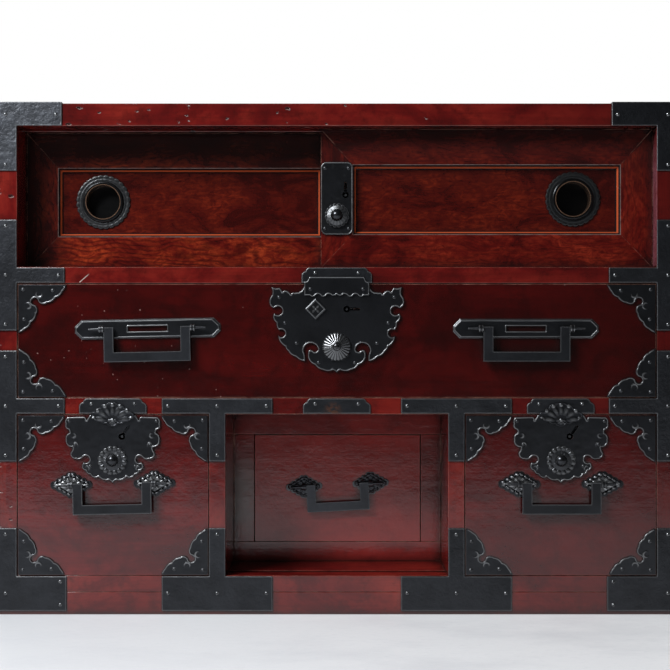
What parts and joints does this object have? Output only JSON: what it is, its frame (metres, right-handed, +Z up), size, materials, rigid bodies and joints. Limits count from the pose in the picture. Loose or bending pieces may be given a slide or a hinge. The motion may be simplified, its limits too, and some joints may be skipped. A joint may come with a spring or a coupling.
{
  "type": "small tansu chest",
  "caption": "Small lacquered tansu chest with iron fittings: sliding doors over a long drawer, then drawers on both sides of an open niche with an inner drawer.",
  "frame": {"origin": "middle of the footprint, on the floor under the bottom board", "axes": "+Z up, -Y towards the front, +X to the right of someone facing the front"},
  "size_m": [0.733, 0.3942, 0.5465],
  "materials": {
    "carcass_lacquer": "old red lacquer over wood, glossy with worn edges",
    "drawer_lacquer": "dark red lacquer, glossy",
    "door_lacquer": "clear red lacquer over burl wood, glossy",
    "bare_wood": "plain unfinished softwood",
    "black_iron": "blackened wrought iron, satin",
    "worn_iron": "blackened iron worn to a coppery rim"
  },
  "bodies": {
    "carcass": {"top_board": "carcass_lacquer", "bottom_board": "carcass_lacquer", "side_board_left": "carcass_lacquer", "side_board_right": "carcass_lacquer", "back_boards": "bare_wood", "lower_shelf": "carcass_lacquer", "middle_shelf": "carcass_lacquer", "upper_shelf": "carcass_lacquer", "partition_left": "carcass_lacquer", "partition_right": "carcass_lacquer", "niche_frame": "carcass_lacquer", "niche_drawer_runners": "bare_wood", "top_corner_plates": "black_iron", "base_corner_plates": "black_iron", "side_and_partition_plates": "black_iron", "strike_plates": "black_iron", "carcass_nails": "black_iron"},
    "rear_door": {"rear_door_frame": "door_lacquer", "rear_door_panel": "door_lacquer", "rear_door_pull": "worn_iron"},
    "front_door": {"front_door_frame": "door_lacquer", "front_door_panel": "door_lacquer", "front_door_pull": "worn_iron", "door_lock_plate": "black_iron", "door_lock_case": "black_iron"},
    "door_lock_button": {"door_lock_button": "black_iron"},
    "door_lock_bolt": {"door_lock_bolt": "black_iron"},
    "long_drawer": {"long_drawer_front": "drawer_lacquer", "long_drawer_box": "bare_wood", "long_drawer_corners": "black_iron", "long_lock_plate": "black_iron", "long_lock_case": "black_iron", "long_handle_plates": "black_iron", "long_handle_posts": "black_iron"},
    "long_lock_button": {"long_lock_button": "black_iron"},
    "long_lock_bolt": {"long_lock_bolt": "black_iron"},
    "long_handle_left": {"long_handle_left": "black_iron"},
    "long_handle_right": {"long_handle_right": "black_iron"},
    "left_drawer": {"left_drawer_front": "drawer_lacquer", "left_drawer_box": "bare_wood", "left_drawer_corners": "black_iron", "left_lock_plate": "black_iron", "left_lock_case": "black_iron", "left_handle_mounts": "black_iron"},
    "left_lock_button": {"left_lock_button": "black_iron"},
    "left_lock_bolt": {"left_lock_bolt": "black_iron"},
    "left_handle": {"left_handle": "black_iron"},
    "right_drawer": {"right_drawer_front": "drawer_lacquer", "right_drawer_box": "bare_wood", "right_drawer_corners": "black_iron", "right_lock_plate": "black_iron", "right_lock_case": "black_iron", "right_handle_mounts": "black_iron"},
    "right_lock_button": {"right_lock_button": "black_iron"},
    "right_lock_bolt": {"right_lock_bolt": "black_iron"},
    "right_handle": {"right_handle": "black_iron"},
    "niche_drawer": {"niche_drawer_front": "drawer_lacquer", "niche_drawer_box": "bare_wood", "niche_handle_mounts": "black_iron"},
    "niche_handle": {"niche_handle": "black_iron"}
  },
  "joints": [
    {"name": "rear_door_slide", "type": "slide", "parent": "carcass", "child": "rear_door", "axis": [1, 0, 0], "range_m": [0, 0.32]},
    {"name": "front_door_slide", "type": "slide", "parent": "carcass", "child": "front_door", "axis": [-1, 0, 0], "range_m": [0, 0.32]},
    {"name": "long_drawer_slide", "type": "slide", "parent": "carcass", "child": "long_drawer", "axis": [0, -1, 0], "range_m": [0, 0.3]},
    {"name": "left_drawer_slide", "type": "slide", "parent": "carcass", "child": "left_drawer", "axis": [0, -1, 0], "range_m": [0, 0.28]},
    {"name": "right_drawer_slide", "type": "slide", "parent": "carcass", "child": "right_drawer", "axis": [0, -1, 0], "range_m": [0, 0.28]},
    {"name": "niche_drawer_slide", "type": "slide", "parent": "carcass", "child": "niche_drawer", "axis": [0, -1, 0], "range_m": [0, 0.2]},
    {"name": "door_lock_press", "type": "slide", "parent": "front_door", "child": "door_lock_button", "axis": [0, 1, 0], "range_m": [0, 0.0035]},
    {"name": "door_lock_shoot", "type": "slide", "parent": "front_door", "child": "door_lock_bolt", "axis": [0, 1, 0], "range_m": [0, 0.007]},
    {"name": "long_lock_press", "type": "slide", "parent": "long_drawer", "child": "long_lock_button", "axis": [0, 1, 0], "range_m": [0, 0.0035]},
    {"name": "long_lock_shoot", "type": "slide", "parent": "long_drawer", "child": "long_lock_bolt", "axis": [0, 0, 1], "range_m": [0, 0.007]},
    {"name": "left_lock_press", "type": "slide", "parent": "left_drawer", "child": "left_lock_button", "axis": [0, 1, 0], "range_m": [0, 0.0035]},
    {"name": "left_lock_shoot", "type": "slide", "parent": "left_drawer", "child": "left_lock_bolt", "axis": [0, 0, 1], "range_m": [0, 0.007]},
    {"name": "right_lock_press", "type": "slide", "parent": "right_drawer", "child": "right_lock_button", "axis": [0, 1, 0], "range_m": [0, 0.0035]},
    {"name": "right_lock_shoot", "type": "slide", "parent": "right_drawer", "child": "right_lock_bolt", "axis": [0, 0, 1], "range_m": [0, 0.007]},
    {"name": "long_handle_left_swing", "type": "hinge", "parent": "long_drawer", "child": "long_handle_left", "pos_m": [-0.2015, -0.1965, 0.3047], "axis": [-0.9998, 0, -0.0192], "range_deg": [0, 165]},
    {"name": "long_handle_right_swing", "type": "hinge", "parent": "long_drawer", "child": "long_handle_right", "pos_m": [0.2015, -0.1965, 0.3047], "axis": [-1, 0, 0], "range_deg": [0, 165]},
    {"name": "left_handle_swing", "type": "hinge", "parent": "left_drawer", "child": "left_handle", "pos_m": [-0.23863, -0.1965, 0.1392], "axis": [-0.9998, 0, -0.0209], "range_deg": [0, 140]},
    {"name": "right_handle_swing", "type": "hinge", "parent": "right_drawer", "child": "right_handle", "pos_m": [0.23863, -0.1965, 0.1392], "axis": [-1, 0, 0], "range_deg": [0, 140]},
    {"name": "niche_handle_swing", "type": "hinge", "parent": "niche_drawer", "child": "niche_handle", "pos_m": [0, -0.0965, 0.1289], "axis": [-0.9986, 0, -0.0523], "range_deg": [0, 165]}
  ],
  "couplings": [
    {"joint": "door_lock_shoot", "follows": "door_lock_press", "ratio": 2},
    {"joint": "long_lock_shoot", "follows": "long_lock_press", "ratio": 2},
    {"joint": "left_lock_shoot", "follows": "left_lock_press", "ratio": 2},
    {"joint": "right_lock_shoot", "follows": "right_lock_press", "ratio": 2}
  ]
}
